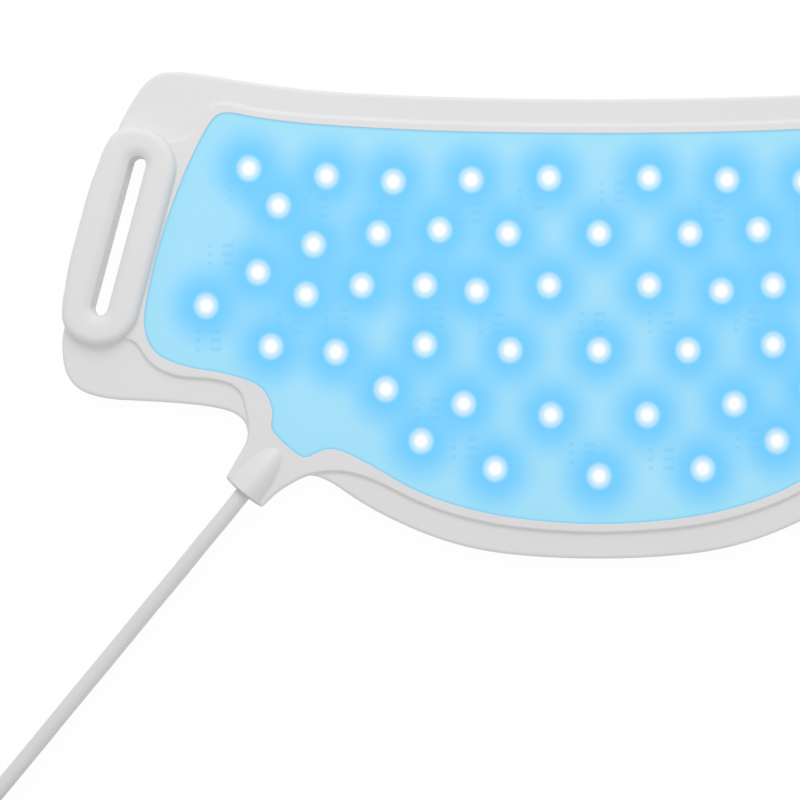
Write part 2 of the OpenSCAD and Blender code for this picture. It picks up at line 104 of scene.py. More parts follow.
class Shade:
    """A value or colour on its way through a material's nodes. Values add and multiply."""

    def __init__(self, finish, socket):
        self.finish, self.socket = finish, socket

    def maths(self, operation, other):
        """A Math node on this value and another."""
        return self.finish.node("ShaderNodeMath", {"operation": operation}, {0: self, 1: other})

    def __add__(self, other):
        return self.maths("ADD", other)

    def __mul__(self, other):
        return self.maths("MULTIPLY", other)

    __radd__, __rmul__ = __add__, __mul__

    def between(self, low, high):
        """0 below low, 1 above high and an even S between them."""
        settings = {"interpolation_type": "SMOOTHSTEP"}
        return self.finish.node("ShaderNodeMapRange", settings, {0: self, 1: low, 2: high})


class Finish:
    """A material with one Principled shader, whose plain numbers and colours are given by name."""

    def __init__(self, name, **plain):
        self.material = bpy.data.materials.new(name)
        self.material.use_nodes = True
        self.tree = self.material.node_tree
        self.shader = self.tree.nodes["Principled BSDF"]
        for socket, value in plain.items():
            self.shader.inputs[socket.replace("_", " ")].default_value = value

    def node(self, kind, settings, inputs, output=0):
        """Adds a node: its type, its settings, and its inputs by name or number."""
        node = self.tree.nodes.new(kind)
        for setting, value in settings.items():
            setattr(node, setting, value)
        for socket, value in inputs.items():
            if isinstance(value, Shade):
                self.tree.links.new(value.socket, node.inputs[socket])
            else:
                node.inputs[socket].default_value = value
        return Shade(self, node.outputs[output])

    def place(self):
        """Where a point lies on the piece, in metres."""
        return self.node("ShaderNodeTexCoord", {}, {}, "Object")

    def attribute(self, name):
        """A number that the piece's mesh holds for each point."""
        return self.node("ShaderNodeAttribute", {"attribute_name": name}, {}, "Fac")

    def noise(self, scale, detail=2.0, stretch=None):
        """Even noise about 0.5 with so many lumps to the metre."""
        where = self.place()
        if stretch:
            where = self.node("ShaderNodeMapping", {}, {"Vector": where, "Scale": stretch})
        inputs = {"Vector": where, "Scale": scale, "Detail": detail}
        return self.node("ShaderNodeTexNoise", {}, inputs)

    def mix(self, share, *colours):
        """The first colour where share is 0, the second where it is 1."""
        first, second = (c if isinstance(c, Shade) else (*c, 1) for c in colours)
        inputs = {0: share, 6: first, 7: second}
        return self.node("ShaderNodeMix", {"data_type": "RGBA"}, inputs, 2)

    def bump(self, height, depth):
        """Relief of so many millimetres from a height between 0 and 1."""
        return self.node("ShaderNodeBump", {}, {"Height": height, "Distance": depth / 1000})

    def drive(self, **links):
        """Links what changes over the surface to the shader's sockets."""
        for socket, value in links.items():
            self.tree.links.new(value.socket, self.shader.inputs[socket.replace("_", " ")])


def on_piece(piece, finish, slot, *nodes, body=None):
    """Gives a piece its finish, hides the CAD nodes it stands for and sets it under its body, if
    one. The slot is not used.
    """
    piece.data.materials.append(finish.material)
    if nodes:
        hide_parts(*nodes)
    if body:
        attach(piece, body)


def box_mm(node):
    """A CAD node's lowest and highest corners in millimetres."""
    return np.array(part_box(node)) * 1000


def round_rectangle(low, high, radius, points):
    """Points of a rectangle's edge with round corners, evenly spaced by angle in each corner."""
    a = np.radians(np.arange(points) * 360 / points + 180 / points)
    corner = np.stack([np.sign(np.cos(a)), np.sign(np.sin(a))], -1)
    middle, half = (low + high) / 2, (high - low) / 2
    return middle + corner * (half - radius) + radius * np.stack([np.cos(a), np.sin(a)], -1)


TIE_T, TIE_ROUND, TIE_EDGE = 0.8, 3.2, 0.1
tie_low, tie_high = box_mm("coil_tie")
section_low, section_high = tie_low[[0, 2]], tie_high[[0, 2]]
tie_y = [tie_low[1], tie_low[1] + TIE_EDGE, tie_high[1] - TIE_EDGE, tie_high[1]]
insets = [TIE_T - TIE_EDGE, TIE_T, TIE_T, TIE_T - TIE_EDGE, TIE_EDGE, 0, 0, TIE_EDGE]
band = np.concatenate([
    np.insert(round_rectangle(section_low + inset, section_high - inset, TIE_ROUND - inset, 64),
              1, y, axis=1)
    for inset, y in zip(insets, tie_y + tie_y[::-1])
])
tie = surface("coil_tie_strap", band, grid_faces(8, 64, True, True)[:, ::-1])

# The free end: a strip up the band's outer side, which lifts a little and is thin at both ends
FLAP_T, FLAP_END_T, FLAP_LIFT, FLAP_MARGIN, FLAP_POINTS = 0.62, 0.12, 0.25, 0.25, 24
share = np.linspace(0, 1, FLAP_POINTS)
flap_x = section_high[0] + 0.02 + FLAP_LIFT * np.clip(6.5 * share, 0, 1)
flap_z = section_low[1] + 1.6 + (section_high[1] - section_low[1] - 4.6) * share
flap_t = np.where(share % 1 == 0, FLAP_END_T, FLAP_T)
flap_low, flap_high = tie_low[1] + FLAP_MARGIN, tie_high[1] - FLAP_MARGIN
flap = np.concatenate([
    np.column_stack([flap_x + side * flap_t, np.full(FLAP_POINTS, y), flap_z])
    for side, y in ((0, flap_low), (1, flap_low), (1, flap_high), (0, flap_high))
])
flap_ends = np.array([[3, 2, 1, 0], [0, 1, 2, 3]]) * FLAP_POINTS + [[0], [FLAP_POINTS - 1]]
tie_end = surface("coil_tie_end", flap, grid_faces(4, FLAP_POINTS, True)[:, ::-1], flap_ends)

tape = Finish("woven_tape", Roughness=0.92)
warp, weft = (
    tape.node("ShaderNodeTexWave", {"bands_direction": bands}, {
        "Vector": tape.place(), "Scale": scale, "Distortion": distortion, "Detail Scale": detail,
    })
    for bands, scale, distortion, detail in (("Y", 420.0, 1.2, 3.0), ("DIAGONAL", 380.0, 2.0, 4.0))
)
nap = warp * 0.5 + weft * 0.5
tape.drive(
    Base_Color=tape.mix(nap * tape.noise(1800.0), (0.028, 0.028, 0.031), (0.13, 0.13, 0.14)),
    Normal=tape.bump(nap, 0.12),
)
on_piece(tie, tape, "tie", "coil_tie", body="left_wing")
on_piece(tie_end, tape, "tie", body="left_wing")


# ---- Plug ----
# A small charging plug: a ribbed relief and a grip moulded on the cable, and a drawn steel shell
# around a black tongue with gold contacts, pushed into the grip.

def lofted(name, sections):
    """A closed solid through sections, each a ring of points, with flat ends."""
    sections = np.asarray(sections)
    count, sides = sections.shape[:2]
    ends = np.stack([np.arange(sides)[::-1], (count - 1) * sides + np.arange(sides)])
    return surface(name, sections.reshape(-1, 3), grid_faces(count, sides, False, True), ends)


def along_x(x, width, height, middle, sides, squareness):
    """Rounded sections square to X: superellipses with half sizes from the widths and heights."""
    a = np.arange(sides) * 2 * np.pi / sides
    c, s = np.cos(a), np.sin(a)
    size = (np.abs(c) ** squareness + np.abs(s) ** squareness) ** (-1 / squareness)
    ring = np.stack([np.zeros(sides), c * size, s * size], -1)
    scale = np.stack([np.zeros(len(x)), np.asarray(width) / 2, np.asarray(height) / 2], -1)
    offset = np.stack([x, np.full(len(x), middle[0]), np.full(len(x), middle[1])], -1)
    return ring[None] * scale[:, None] + offset[:, None]


def speckled(name, noise, dark, light, grain=None, rough=None, relief=None, **plain):
    """A finish between two colours by an even noise. Its roughness, from a lowest value and a span,
    and its relief follow a grain of their own, or else the same noise."""
    finish = Finish(name, **plain)
    tone = finish.noise(*noise)
    height = finish.noise(*grain) if grain else tone
    finish.drive(Base_Color=finish.mix(tone, dark, light))
    if rough:
        finish.drive(Roughness=rough[0] + height * rough[1])
    if relief:
        finish.drive(Normal=finish.bump(height, relief))
    return finish


# The relief: a cone with a groove, a bell curve deep, at each rib
CABLE_D, RIB_PITCH, GROOVE = 4.3, 2.25, 0.75
relief_low, relief_high = box_mm("plug_relief")
plug_middle = (relief_low[1:] + relief_high[1:]) / 2
rib_x = np.linspace(relief_low[0], relief_high[0], 81)
from_grip = rib_x - relief_low[0]
groove = GROOVE * np.exp(-((from_grip / RIB_PITCH % 1 - 0.86) / 0.1) ** 2)
rib_d = np.minimum(CABLE_D + 0.9 + 0.045 * from_grip - groove, relief_high[1] - relief_low[1])
rib_d[0] = rib_d[-1] = CABLE_D
relief = lofted("plug_ribbed_relief", along_x(rib_x, rib_d, rib_d, plug_middle, 40, 2.0))

# The grip: narrower by parabolas towards its ends, whose edges are quarter circles, with six
# shallow finger hollows that follow a cosine
GRIP_EDGE, HOLLOW, HOLLOWS = 0.7, 0.02, 6
grip_low, grip_high = box_mm("plug_grip")
grip_size = grip_high - grip_low
share = np.concatenate([
    [0, 0.004, 0.015, 0.035], np.linspace(0.06, 0.94, 45), [0.965, 0.985, 0.996, 1],
])
crown = 1 - 0.16 * np.clip(1 - share / 0.3, 0, 1) ** 2
crown -= 0.05 * np.clip(share / 0.3 - 2.3, 0, 1) ** 2
from_end = np.minimum(share, 1 - share) * grip_size[0]
ends = 1 - 0.11 * (1 - np.sqrt(1 - np.clip(1 - from_end / GRIP_EDGE, 0, 1) ** 2))
wave = 1 - np.cos(2 * np.pi * HOLLOWS * np.clip((share - 0.3) / 0.42, 0, 1))
grip = lofted("plug_moulded_grip", along_x(
    grip_low[0] + share * grip_size[0], grip_size[1] * crown * ends * (1 - HOLLOW * wave / 2),
    grip_size[2] * (0.25 + 0.75 * crown) * ends, plug_middle, 64, 3.2,
))

# The shell: a drawn tube with a rounded lip, run in and out again, and the tongue inside it
SHELL_T = 0.3
shell_low, shell_high = box_mm("plug_shell")
lip, root = shell_high[0], grip_high[0]
shell_x = np.array([
    root - 0.5, root + 0.02, lip - 0.18, lip - 0.05, lip, lip - 0.05, lip - 0.3,
    root + 0.4, root + 0.4,
])
inset = np.array([0, 0, 0, 0.06, 0.16, 0.26, SHELL_T, SHELL_T, 1.24])
shell_w, shell_h = (shell_high - shell_low)[1:]
shell = lofted("plug_steel_shell", along_x(
    shell_x, shell_w - 2 * inset, shell_h - 2 * inset, plug_middle, 64, 4.5,
))
TONGUE_W, TONGUE_T = 6.6, 0.7
tip = box_mm("plug_tongue")[1, 0]
tongue = lofted("plug_core_tongue", along_x(
    np.array([root + 0.45, tip - 0.25, tip - 0.06, tip]), TONGUE_W - np.array([0, 0, 0.12, 0.5]),
    TONGUE_T - np.array([0, 0, 0.1, 0.35]), plug_middle, 32, 6,
))

# Eight contacts on either face of the tongue, each a thin box
PAD_L, PAD_W, PAD_PITCH, PADS = 3.4, 0.34, 0.7, 8
pad = np.tile(np.array([[0, -1], [1, -1], [1, 1], [0, 1]]) * [PAD_L, PAD_W / 2], (2, 1))
contacts = np.concatenate([
    np.column_stack([
        root + 1.0 + pad[:, 0],
        plug_middle[0] + (k - (PADS - 1) / 2) * PAD_PITCH + pad[:, 1],
        plug_middle[1] + side * np.repeat([0.36, 0.3], 4),
    ])
    for side in (1, -1) for k in range(PADS)
])
box_faces = np.array([
    [0, 1, 2, 3], [0, 4, 5, 1], [1, 5, 6, 2], [2, 6, 7, 3], [3, 7, 4, 0], [7, 6, 5, 4],
])
pads = surface("plug_contacts", contacts, np.concatenate([
    (box_faces if k < PADS else box_faces[:, ::-1]) + 8 * k for k in range(2 * PADS)
]))
pads.data.shade_flat()

plastic = speckled("moulded_plastic", (90.0,), (0.69, 0.69, 0.70), (0.75, 0.75, 0.76),
                   grain=(2600.0, 3.0), rough=(0.44, 0.12), relief=0.03)
steel = speckled("drawn_steel", (900.0, 4.0, (0.06, 1.0, 1.0)), (0.50, 0.50, 0.51),
                 (0.66, 0.66, 0.67), rough=(0.2, 0.2), relief=0.01, Metallic=1.0)
core = speckled("black_insulator", (700.0,), (0.010, 0.010, 0.011), (0.022, 0.022, 0.024),
                grain=(3000.0,), relief=0.02, Roughness=0.45)
gold = speckled("gold_plate", (1500.0,), (0.83, 0.60, 0.25), (0.95, 0.74, 0.38),
                grain=(2500.0,), rough=(0.24, 0.12), Metallic=1.0)
for piece, finish, slot, *nodes in (
    (relief, plastic, "jacket", "plug_relief"), (grip, plastic, "plug_plastic", "plug_grip"),
    (shell, steel, "plug_metal", "plug_shell"), (tongue, core, "plug_core", "plug_tongue"),
    (pads, gold, "brass"),
):
    on_piece(piece, finish, slot, *nodes, body="left_wing")


# ---- Cable ----
# A round two-core lead with a soft light grey jacket, extruded. It leaves the boot, runs straight
# across the surface, and is wound up in two layers with its plug beside the coil.

def s_curve(values, low, high):
    """0 at low, 1 at high and an even S between them."""
    share = np.clip((values - low) / (high - low), 0, 1)
    return share * share * (3 - 2 * share)


EXIT = np.array([-95.94, -48.07, 3.2])
exit_turn = np.radians(230.5)
exit_way = np.array([np.cos(exit_turn), np.sin(exit_turn)])
start = np.array([EXIT + np.append(step * exit_way, 0) for step in (-1.5, 0, 2)])
run = np.array([
    [-101.6, -55.1, 3.1], [-106.7, -61.2, 2.9], [-113.0, -69.0, 2.6], [-120.7, -78.2, 2.3],
    [-128.3, -87.5, 2.2], [-135.9, -96.7, 2.2], [-143.6, -106.0, 2.2], [-151.2, -115.3, 2.2],
    [-158.8, -124.5, 2.2], [-165.2, -132.2, 2.4], [-171.6, -140.0, 2.8],
])
tail = np.array([
    [-147, -201.8, 6.6], [-141, -201.8, 5.2], [-135, -201.8, 3.8], [-129, -201.8, 3.2],
    [-124, -201.8, 3.2], [-122, -201.8, 3.2],
])

# The coil: a spiral inwards, a smooth step up, and a spiral outwards on top of it
COIL_MIDDLE = np.array([-153.0, -169.0])
COIL_R, COIL_PITCH, COIL_TURNS = 32.8, 1.01 * CABLE_D, 3.18
COIL_FROM, COIL_Z, LAYER = 140.5, 2.95, 4.3
turned = np.arange(0, 2 * COIL_TURNS * 360, 10) / 360
angle = np.radians(COIL_FROM) + 2 * np.pi * turned
radius = COIL_R - COIL_PITCH * (COIL_TURNS - np.abs(turned - COIL_TURNS))
coil = np.stack([
    COIL_MIDDLE[0] + radius * np.cos(angle),
    COIL_MIDDLE[1] + radius * np.sin(angle),
    COIL_Z + LAYER * s_curve((turned - COIL_TURNS) / 0.3, -0.5, 0.5),
], -1)
route = np.concatenate([start, run, coil, tail])


def smooth_line(points, steps):
    """A Catmull-Rom line through points: each stretch is a cubic that leaves and arrives parallel
    to the line between its neighbours."""
    p = np.concatenate([2 * points[:1] - points[1:2], points, 2 * points[-1:] - points[-2:-1]])
    t = (np.arange(steps) / steps)[None, :, None]
    a, b, c, d = (p[i:len(p) - 3 + i][:, None] for i in range(4))
    line = (2 * b + (c - a) * t + (2 * a - 5 * b + 4 * c - d) * t ** 2
            + (3 * b - a - 3 * c + d) * t ** 3) / 2
    return np.concatenate([line.reshape(-1, points.shape[1]), points[-1:]])


def tube(name, line, diameter, sides):
    """A round tube along a line that never stands upright: each ring lies in the plane of a level
    direction across the line and the direction square to both."""
    way = np.gradient(line, axis=0)
    way /= np.linalg.norm(way, axis=1, keepdims=True)
    aside = np.stack([way[:, 1], -way[:, 0], np.zeros(len(way))], -1)
    aside /= np.linalg.norm(aside, axis=1, keepdims=True)
    up = np.cross(way, aside)
    a = np.arange(sides) * 2 * np.pi / sides
    rings = line[:, None] + diameter / 2 * (
        np.cos(a)[None, :, None] * aside[:, None] + np.sin(a)[None, :, None] * up[:, None]
    )
    return lofted(name, rings)


cable = tube("cable", smooth_line(route, 2), CABLE_D, 28)
jacket = speckled("cable_jacket", (60.0,), (0.652, 0.652, 0.656), (0.690, 0.690, 0.694),
                  grain=(1500.0, 3.0), rough=(0.46, 0.1), relief=0.02)
on_piece(cable, jacket, "jacket", "cable_run", "cable_coil", "cable_tail", body="left_wing")


# ---- Front frame and strap loops ----
# The face of the panel, moulded in one shot of white liquid silicone: a thin flange, a raised rim
# round the window, two thick loops that the head strap threads through, and a boot for the cable.

def merged(node):
    """Points in millimetres and triangles of a merged copy of a CAD node's mesh."""
    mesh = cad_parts[node].data
    places = np.empty(len(mesh.vertices) * 3, np.float32)
    mesh.vertices.foreach_get("co", places)
    mesh.calc_loop_triangles()
    corners = np.empty(len(mesh.loop_triangles) * 3, np.int32)
    mesh.loop_triangles.foreach_get("vertices", corners)
    places = places.reshape(-1, 3).astype(float) * 1000
    keys = np.round(places * 500).astype(np.int64)
    _, first, same = np.unique(keys, axis=0, return_index=True, return_inverse=True)
    return places[first], same.ravel()[corners].reshape(-1, 3)


def border(triangles):
    """The directed edges that only one of the triangles has."""
    edges = np.concatenate([triangles[:, [0, 1]], triangles[:, [1, 2]], triangles[:, [2, 0]]])
    code = edges @ [triangles.max() + 1, 1]
    return edges[~np.isin(code, edges[:, ::-1] @ [triangles.max() + 1, 1])]


def joined(lines):
    """Closed lines, anticlockwise, made of open ones that end where the next one starts, nearly."""
    closed = []
    while lines:
        line = lines.pop(0)
        while lines:
            gaps = [np.linalg.norm(other[0] - line[-1]) for other in lines]
            if min(gaps) >= np.linalg.norm(line[0] - line[-1]):
                break
            line = np.concatenate([line, lines.pop(int(np.argmin(gaps)))])
        x, y = line.T
        area = (x * np.roll(y, -1) - y * np.roll(x, -1)).sum()
        closed.append(line if area > 0 else line[::-1])
    return closed


def outlines(nodes, height, keep=None):
    """Closed anticlockwise lines along the edges of CAD nodes' level faces at a height, without
    the cuts at the bend lines and the edges whose middles fail a test."""
    lines = []
    for node in nodes:
        points, triangles = merged(node)
        edges = border(triangles[np.abs(points[triangles, 2] - height).max(1) < CLOSE])
        ends = points[edges][:, :, :2]
        at_bend = np.abs(np.abs(ends[:, :, 0]) - bend_at).max(1) < 0.3
        at_bend &= np.abs(ends[:, 0, 0] - ends[:, 1, 0]) < 0.01
        kept = ~at_bend if keep is None else ~at_bend & keep(ends.mean(1))
        after = dict(edges[kept].tolist())
        starts = [a for a in after if a not in set(after.values())]
        while after:
            here = starts.pop() if starts else next(iter(after))
            line = [here]
            while here in after:
                here = after.pop(here)
                line.append(here)
            lines.append(points[line, :2])
    return joined(lines)


def even(line, step):
    """Points a step apart along a closed line."""
    ring = np.concatenate([line, line[:1]])
    along = np.concatenate([[0], np.cumsum(np.linalg.norm(np.diff(ring, axis=0), axis=1))])
    at = np.arange(round(along[-1] / step)) * along[-1] / round(along[-1] / step)
    return np.stack([np.interp(at, along, ring[:, 0]), np.interp(at, along, ring[:, 1])], -1)


def softened(line, spread):
    """The line with each point moved to the mean of its neighbours, weighted by a bell curve."""
    line = even(line, spread / 3)
    reach = np.arange(-9, 10)
    weights = np.exp(-(reach / 3) ** 2 / 2)
    weights /= weights.sum()
    return even(sum(w * np.roll(line, -k, axis=0) for k, w in zip(reach, weights)), STEP)


def outward(line):
    """Directions square to a closed anticlockwise line, away from its inside."""
    along = np.roll(line, -1, axis=0) - np.roll(line, 1, axis=0)
    return np.stack([along[:, 1], -along[:, 0]], -1) / np.linalg.norm(along, axis=1)[:, None]


def depth(points, line):
    """How far each point lies inside a closed line, negative outside: to the two straight
    stretches that meet at the line's nearest point, on the side its outward direction says."""
    normals = outward(line)
    nearest = np.concatenate([
        ((some ** 2).sum(1)[:, None] - 2 * some @ line.T + (line ** 2).sum(1)).argmin(1)
        for some in np.array_split(points, max(1, len(points) // 2000))
    ])
    best = np.full(len(points), np.inf)
    for step in (-1, 1):
        a, b = line[nearest], line[(nearest + step) % len(line)]
        share = ((points - a) * (b - a)).sum(1) / ((b - a) ** 2).sum(1)
        foot = a + np.clip(share, 0, 1)[:, None] * (b - a)
        best = np.minimum(best, np.linalg.norm(points - foot, axis=1))
    side = ((points - line[nearest]) * normals[nearest]).sum(1)
    return np.where(side > 0, -best, best)


def rounding(inside, radius):
    """How far a rounded edge lies below the face it rounds, at a distance inside the edge."""
    return radius - np.sqrt(radius ** 2 - np.clip(radius - inside, 0, radius) ** 2)


def top_of(node):
    """The height of a CAD node's top in millimetres."""
    return box_mm(node)[1, 2]


STEP, CLOSE = 0.7, 0.002
FLANGE_T = 1.6
BOOT_L, BOOT_W, BOOT_H = 15.2, 4.9, 3.3
bend_at = (box_mm("front_frame_right")[0, 0] + box_mm("front_frame_centre")[1, 0]) / 2
back_top = top_of("back_cover_centre")
rim_top = top_of("front_frame_centre")
flange_top = back_top + FLANGE_T
loop_top = top_of("strap_loop_left")

LongRound = namedtuple("LongRound", "middle way half radius")
Loop = namedtuple("Loop", "outer slot mouth line")
SLOT_MORE, MOUTH_MORE, SLOT_LONGER = 0.46, 1.06, 0.16


def square_to(way):
    """The plan direction square to another one, on its right."""
    return np.array([way[1], -way[0]])


def away(form):
    """The direction square to a loop's slot that leads away from the panel's middle."""
    return square_to(form.way) * np.sign(form.middle[0])


def opened(form, more):
    """A loop's slot, longer at its upper end and wider by more on the side away from the panel."""
    middle = form.middle + away(form) * more / 2 + form.way * SLOT_LONGER
    return LongRound(middle, form.way, form.half + SLOT_LONGER - more / 2, form.radius + more / 2)


def loop_form(node):
    """A loop's outer edge, its slot at the back and its slot at the front, the mouth, as long
    round shapes, and the outer edge's points. A long round shape is a straight band with half
    circles at its ends: its middle, its way along, half its straight length and its radius."""
    forms = []
    lines = sorted(outlines([node], 0.0), key=lambda line: -np.ptp(line[:, 1]))
    for line in lines:
        sides = np.roll(line, -1, axis=0) - line
        way = sides[np.linalg.norm(sides, axis=1).argmax()]
        way = way / np.linalg.norm(way) * np.sign(way[1])
        along, across = line @ way, line @ square_to(way)
        radius = np.ptp(across) / 2
        middle = way * (along.max() + along.min()) / 2
        middle = middle + square_to(way) * (across.max() + across.min()) / 2
        forms.append(LongRound(middle, way, np.ptp(along) / 2 - radius, radius))
    outer, slot = forms
    return Loop(outer, opened(slot, SLOT_MORE), opened(slot, MOUTH_MORE), even(lines[0], STEP))


def long_round(form, distance, step):
    """Points along the parallel to a long round shape's edge at a distance outside it."""
    middle, way, half, radius = form
    turn = np.radians(np.arange(180.0, 360.0, np.degrees(step / (radius + 0.3))))
    bow = np.stack([np.cos(turn), np.sin(turn)], -1) * (radius + distance)
    side = np.linspace(-half, half, max(2, round(2 * half / step)), endpoint=False)
    parts = [
        bow + [0, -half],
        np.stack([np.full(len(side), radius + distance), side], -1),
        -bow + [0, half],
        np.stack([np.full(len(side), -radius - distance), -side], -1),
    ]
    return middle + np.concatenate(parts) @ np.array([square_to(way), way])


def outside_round(points, form):
    """How far each point lies outside a long round shape, negative inside."""
    from_middle = points - form.middle
    along = np.clip(np.abs(from_middle @ form.way) - form.half, 0, None)
    return np.hypot(along, from_middle @ square_to(form.way)) - form.radius


loops = [loop_form("strap_loop_left"), loop_form("strap_loop_right")]


def outside_loops(points, form="outer"):
    """How far each point lies outside the nearer loop or its slot, negative inside."""
    return np.min([outside_round(points, getattr(loop, form)) for loop in loops], axis=0)


def in_boot(points):
    """Distances along the cable boot from its cut end, and aside from its middle line."""
    from_exit = points - EXIT[:2]
    return -from_exit @ exit_way, -from_exit @ square_to(exit_way)


def off_loops_and_boot(points):
    """Whether points lie clear of the loops and of the boot, where lines of the CAD are hidden."""
    along, aside = in_boot(points)
    clear = (np.abs(aside) > BOOT_W + 0.05) | (along < -0.3) | (along > BOOT_L + 0.1)
    return clear & (outside_loops(points) > 0.2)


# The panel's edge: the back's, with each loop's outer edge let in where it stands out, evened, and
# put back exactly on the loops' edges
PLACES = ("_left", "_centre", "_right")
SMOOTHING, LOOP_REACH, TO_LOOP = 0.6, 60.0, 0.15
back_nodes = ["back_cover" + place for place in PLACES]
panel_line = outlines(back_nodes, 0.0, off_loops_and_boot)[0]
for loop in loops:
    gaps = np.linalg.norm(panel_line - np.roll(panel_line, 1, axis=0), axis=1)
    near = np.abs(panel_line - loop.line.mean(0)).max(1) < LOOP_REACH
    panel_line = np.roll(panel_line, -int(np.where(near, gaps, 0).argmax()), axis=0)
    first = np.linalg.norm(loop.line - panel_line[-1], axis=1).argmin()
    last = np.linalg.norm(loop.line - panel_line[0], axis=1).argmin()
    arc = np.roll(loop.line, -first, axis=0)[:(last - first) % len(loop.line) + 1]
    panel_line = np.concatenate([panel_line, arc[1:-1]])
panel_line = softened(panel_line, SMOOTHING)
for loop in loops:
    off = outside_round(panel_line, loop.outer)
    off *= np.clip(1.6 - np.abs(off) / TO_LOOP, 0, 1)
    panel_line = panel_line - outward(panel_line) * off[:, None]

# The rim's outer edge and the window's: the two longest lines at the rim's height. The rim's is
# lifted a little, by a bell curve, where it runs in beside the upper end of each loop.
RIM_LIFT, LIFT_REACH = 1.4, 6.0
front_nodes = ["front_frame" + place for place in PLACES]
front_lines = outlines(front_nodes, rim_top, off_loops_and_boot)
front_lines.sort(key=lambda line: -np.ptp(line[:, 0]))
rim_line, window_line = (softened(line, SMOOTHING) for line in front_lines[:2])
for outer, *_ in loops:
    corner = outer.middle + outer.way * (outer.half + outer.radius) - away(outer) * outer.radius
    off = ((rim_line - corner) ** 2).sum(axis=1)
    rim_line[:, 1] += RIM_LIFT * np.exp(-off / LIFT_REACH ** 2)


def plan_mesh(rows, loose, kept):
    """A Delaunay triangulation of plan points that keeps the stretches between the neighbours of a
    row, and between its ends, as edges wherever they are close. Triangles whose middles fail a
    test go. Points near the panel's middle line move onto it, so that the pieces can part there."""
    points = np.concatenate(rows + loose)
    points[np.abs(points[:, 0]) < STEP * 0.55, 0] = 0
    edges, count = [], 0
    for row in rows:
        close = np.linalg.norm(np.roll(row, -1, axis=0) - row, axis=1) < STEP * 1.6
        here = np.arange(len(row))
        edges.append(count + np.stack([here, np.roll(here, -1)], -1)[close])
        count += len(row)
    middle = np.where(points[:, 0] == 0)[0]
    middle = middle[np.argsort(points[middle, 1])]
    edges = np.concatenate(edges + [np.stack([middle[:-1], middle[1:]], -1)])
    found = delaunay_2d_cdt(points.tolist(), edges.tolist(), [], 0, 1e-4)
    plan, triangles = np.array(found[0]), np.array(found[2])
    a, b, c = plan[triangles].transpose(1, 0, 2)
    turn = (b - a)[:, 0] * (c - a)[:, 1] - (b - a)[:, 1] * (c - a)[:, 0]
    triangles[turn < 0] = triangles[turn < 0, ::-1]
    triangles = triangles[np.abs(turn) > 1e-5]
    return plan, triangles[kept(plan[triangles].mean(1))]


def point_normals(points, *face_sets):
    """At each point, the direction of the summed cross products of the faces that meet there."""
    total = np.zeros_like(points)
    for faces in face_sets:
        a, b, c = (points[faces[:, i]] for i in (0, 1, -1))
        for corner in faces.T:
            np.add.at(total, corner, np.cross(b - a, c - a))
    return total / np.maximum(np.linalg.norm(total, axis=1), 1e-12)[:, None]


def slab(name, plan, whole, part, upper, lower, **maps):
    """A closed piece of a sheet: part of the sheet's triangles at their upper heights and again,
    turned over, at their lower ones, with walls along their border. Its shading runs on over the
    borders that the whole sheet doesn't have, where it meets the next piece. Maps are numbers for
    each plan point, which become attributes of the piece."""
    count = len(plan)
    points = np.concatenate([
        np.column_stack([plan, np.broadcast_to(height, count)]) for height in (upper, lower)
    ])

    def walls(edges):
        """Upright faces under these edges of the upper side."""
        a, b = edges.T
        return np.column_stack([a, a + count, b + count, b])

    free = border(whole)
    normals = point_normals(points, whole, whole[:, ::-1] + count, walls(free))
    edges = border(part)
    own = walls(edges)
    meets = ~np.isin(edges @ [count, 1], free @ [count, 1])
    wall_normals = normals[own]
    a, b, c = (points[own[:, i]] for i in (0, 1, 3))
    square = np.cross(b - a, c - a)
    square /= np.maximum(np.linalg.norm(square, axis=1), 1e-12)[:, None]
    wall_normals[meets] = square[meets, None]
    used = np.unique(np.concatenate([part, part + count]))
    renumber = np.zeros(2 * count, int)
    renumber[used] = np.arange(len(used))
    below = part[:, ::-1] + count
    piece = surface(name, points[used], renumber[part], renumber[below], renumber[own])
    corners = np.concatenate([normals[part].reshape(-1, 3), normals[below].reshape(-1, 3),
                              wall_normals.reshape(-1, 3)])
    piece.data.normals_split_custom_set(corners.tolist())
    for title, values in maps.items():
        layer = piece.data.attributes.new(title, "FLOAT", "POINT")
        layer.data.foreach_set("value", np.tile(values, 2)[used].astype(np.float32))
    return piece


def beside(line, distance):
    """The line moved outwards by a distance, each point square to the line."""
    return line + outward(line) * distance


def parallels(line, offsets, kept):
    """Rows of points at distances outside a line, without those that fail a test."""
    rows = [beside(line, offset) for offset in offsets]
    return [row[kept(row)] for row in rows]


def filling(step):
    """Plan points of an even triangular pattern over the panel's box."""
    x, y = np.meshgrid(np.arange(-150, 150, step), np.arange(-70, 70, step * 0.866))
    x = x + (np.arange(len(x)) % 2)[:, None] * step / 2
    return np.stack([x.ravel(), y.ravel()], -1)


def bending(piece, side):
    """Works out the two bodies and the strip at a half sheet's bend line, which go unused, and
    bakes the piece's placement into its mesh.
    """
    bodies = ("left_wing", "centre") if side == "left" else ("centre", "right_wing")
    at = -bend_at if side == "left" else bend_at
    first, last = (((at + reach) / 1000, 0, 0) for reach in (-BEND_REACH, BEND_REACH))
    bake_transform(piece)


def half_sheets(name, kind, finish, slot, plan, whole, part, upper, lower, **maps):
    """A sheet's part left of the panel's middle line and its part right of it, as slabs that stand
    for a kind of CAD node, with their placement baked into their meshes."""
    x = plan[part, 0].mean(1)
    for side, own in (("left", part[x < 0]), ("right", part[x >= 0])):
        half = slab(name + "_" + side, plan, whole, own, upper, lower, **maps)
        on_piece(half, finish, slot, kind + "_" + side, kind + "_centre")
        bending(half, side)


